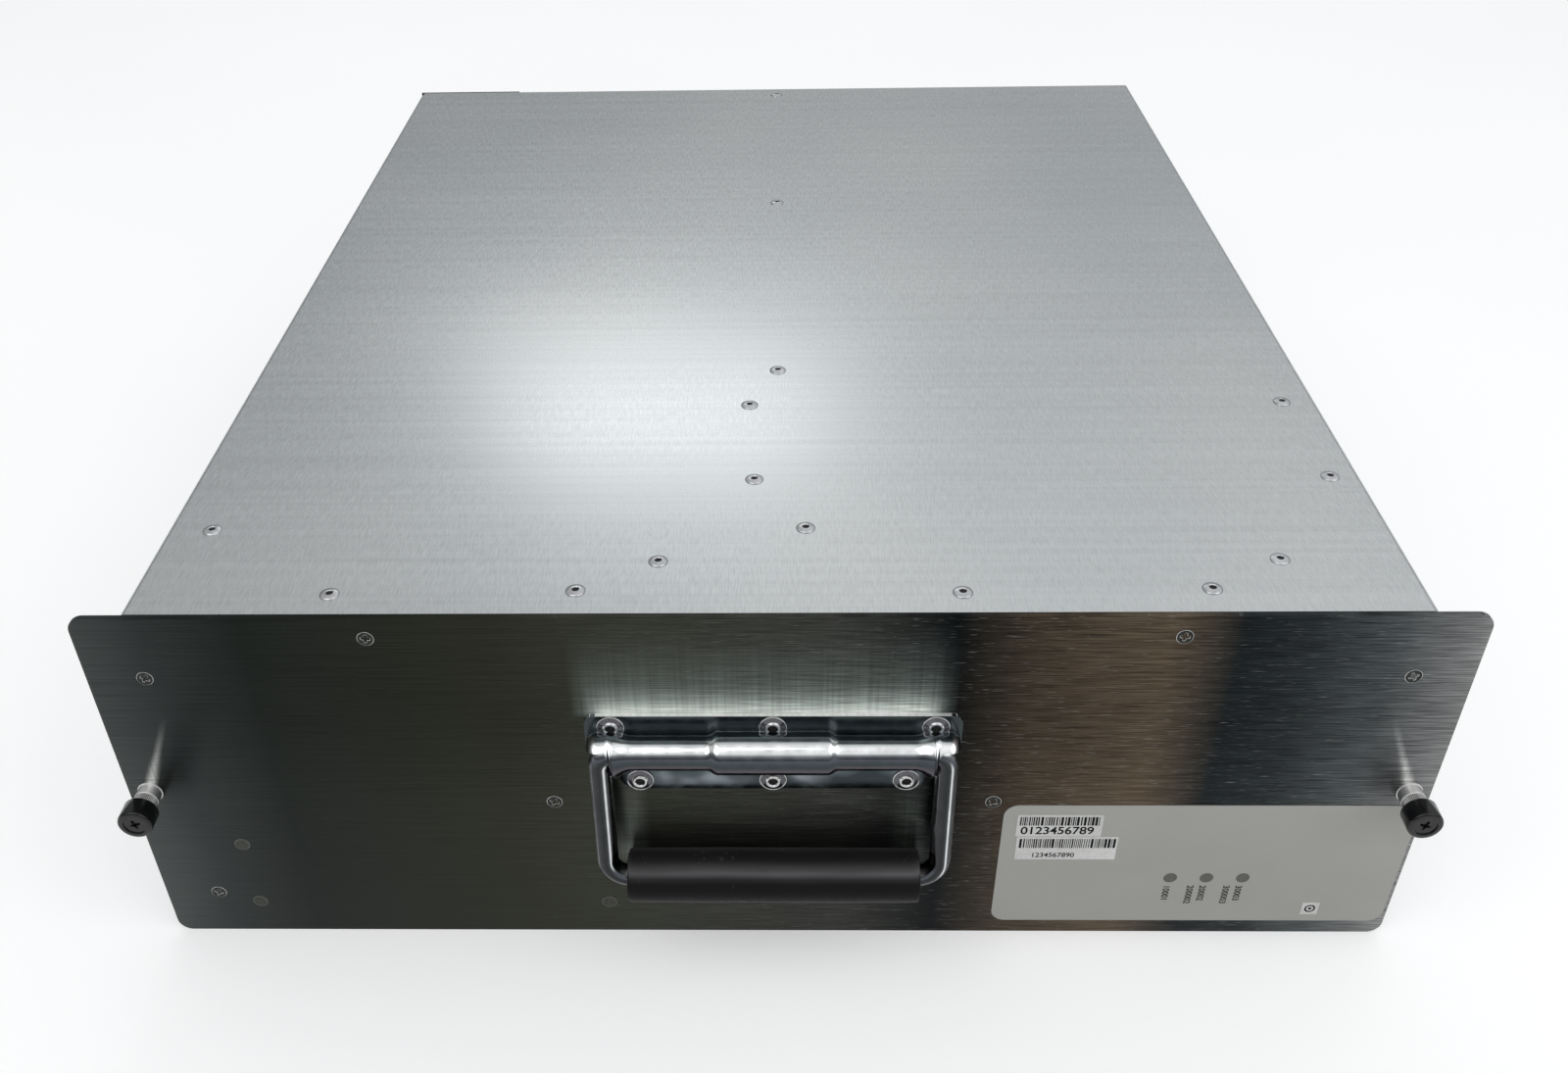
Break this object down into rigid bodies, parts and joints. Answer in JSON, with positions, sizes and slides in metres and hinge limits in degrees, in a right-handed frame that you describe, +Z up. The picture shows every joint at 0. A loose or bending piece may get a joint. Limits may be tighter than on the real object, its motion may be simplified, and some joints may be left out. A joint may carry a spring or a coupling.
{
  "type": "fan tray",
  "caption": "Sheet-metal fan tray with a front panel, folding spring handle, captive screws and radial blowers that draw air from below and blow it out of the back.",
  "frame": {"origin": "centre of the bounding box's footprint, at its bottom", "axes": "+X to the right seen from the front, +Y from the front panel to the back, +Z up"},
  "size_m": [0.437, 0.5126, 0.1458],
  "materials": {
    "panel_steel": "horizontally brushed, dull",
    "cover_sheet": "zinc-coated sheet with a fine grain from front to back",
    "inner_sheet": "plain zinc-coated sheet",
    "bright_zinc": "bright zinc plating",
    "screw_steel": "dull plated steel",
    "screw_chrome": "nickel plating, knurled",
    "handle_chrome": "polished chrome plating",
    "rivet_metal": "satin aluminium",
    "spring_steel": "plain spring steel",
    "wheel_aluminium": "thin rolled sheet",
    "motor_casting": "dark die casting",
    "contact_brass": "bright brass",
    "grip_rubber": "smooth black rubber",
    "knob_plastic": "black plastic with a soft shine",
    "black_plastic": "black moulded plastic",
    "black_foam": "black foam strip",
    "label_film": "warm grey printed film",
    "window_film": "dim clear windows",
    "sticker_paper": "white paper stickers",
    "lamp_plastic": "unlit clear lamps",
    "board_green": "green solder mask",
    "cable_jacket": "black cable jacket"
  },
  "bodies": {
    "tray": {"front_panel": "panel_steel", "panel_screws": "screw_steel", "clinch_nuts": "bright_zinc", "corner_posts": "bright_zinc", "top_cover": "cover_sheet", "cover_rivets": "rivet_metal", "deck_rivets": "rivet_metal", "roof_studs": "cover_sheet", "strap_nuts": "bright_zinc", "motor_screws": "bright_zinc", "blower_deck": "inner_sheet", "guard_screws": "bright_zinc", "centre_divider": "inner_sheet", "rear_frame": "inner_sheet", "rear_connector": "black_plastic", "connector_pins": "contact_brass", "connector_bracket": "bright_zinc", "guide_bushes": "bright_zinc", "rear_gasket": "black_foam", "handle_plate": "handle_chrome", "handle_spring": "spring_steel", "handle_rivets": "rivet_metal", "label_overlay": "label_film", "led_windows": "window_film", "label_stickers": "sticker_paper", "led_lights": "lamp_plastic", "led_board": "board_green", "controller_board": "board_green", "panel_studs": "panel_steel", "board_spacers": "bright_zinc", "board_nuts": "bright_zinc", "board_parts": "black_plastic", "lead_grommets": "grip_rubber", "main_loom": "cable_jacket", "lamp_lead": "cable_jacket", "cable_clips": "black_plastic", "inlet_rings": "bright_zinc", "inlet_guards": "bright_zinc", "motor_straps": "inner_sheet", "motor_stators": "motor_casting", "motor_bearings": "spring_steel", "fan_cables": "cable_jacket", "exhaust_grilles": "inner_sheet", "screw_ferrules": "screw_chrome", "left_scroll_wall": "inner_sheet", "left_screw_spring": "spring_steel", "right_scroll_wall": "inner_sheet", "right_screw_spring": "spring_steel"},
    "handle": {"handle_bail": "handle_chrome", "handle_grip": "grip_rubber"},
    "left_washer": {"left_screw_washer": "spring_steel"},
    "left_screw": {"left_captive_screw": "screw_chrome", "left_screw_knob": "knob_plastic"},
    "left_blower": {"left_blower_wheel": "wheel_aluminium", "left_rotor": "motor_casting"},
    "right_washer": {"right_screw_washer": "spring_steel"},
    "right_screw": {"right_captive_screw": "screw_chrome", "right_screw_knob": "knob_plastic"},
    "right_blower": {"right_blower_wheel": "wheel_aluminium", "right_rotor": "motor_casting"}
  },
  "joints": [
    {"name": "handle_swing", "type": "hinge", "parent": "tray", "child": "handle", "pos_m": [0, -0.2429, 0.0939], "axis": [-1, 0, 0], "range_deg": [0, 86], "stiffness_Nm_per_rad": 0.15, "springref_deg": -28.65, "deforming": ["handle_spring"]},
    {"name": "left_screw_push", "type": "slide", "parent": "tray", "child": "left_washer", "axis": [0, 1, 0], "range_m": [0, 0.0055], "stiffness_N_per_m": 200, "springref_m": -0.004, "deforming": ["left_screw_spring"]},
    {"name": "left_screw_spin", "type": "hinge", "parent": "left_washer", "child": "left_screw", "pos_m": [-0.211, -0.2373, 0.0708], "axis": [0, 1, 0], "continuous": true},
    {"name": "left_blower_spin", "type": "hinge", "parent": "tray", "child": "left_blower", "pos_m": [-0.0926, -0.128, 0.1], "axis": [0, 0, -1], "continuous": true},
    {"name": "right_screw_push", "type": "slide", "parent": "tray", "child": "right_washer", "axis": [0, 1, 0], "range_m": [0, 0.0055], "stiffness_N_per_m": 200, "springref_m": -0.004, "deforming": ["right_screw_spring"]},
    {"name": "right_screw_spin", "type": "hinge", "parent": "right_washer", "child": "right_screw", "pos_m": [0.211, -0.2373, 0.0708], "axis": [0, 1, 0], "continuous": true},
    {"name": "right_blower_spin", "type": "hinge", "parent": "tray", "child": "right_blower", "pos_m": [0.1054, -0.128, 0.1], "axis": [0, 0, -1], "continuous": true}
  ]
}
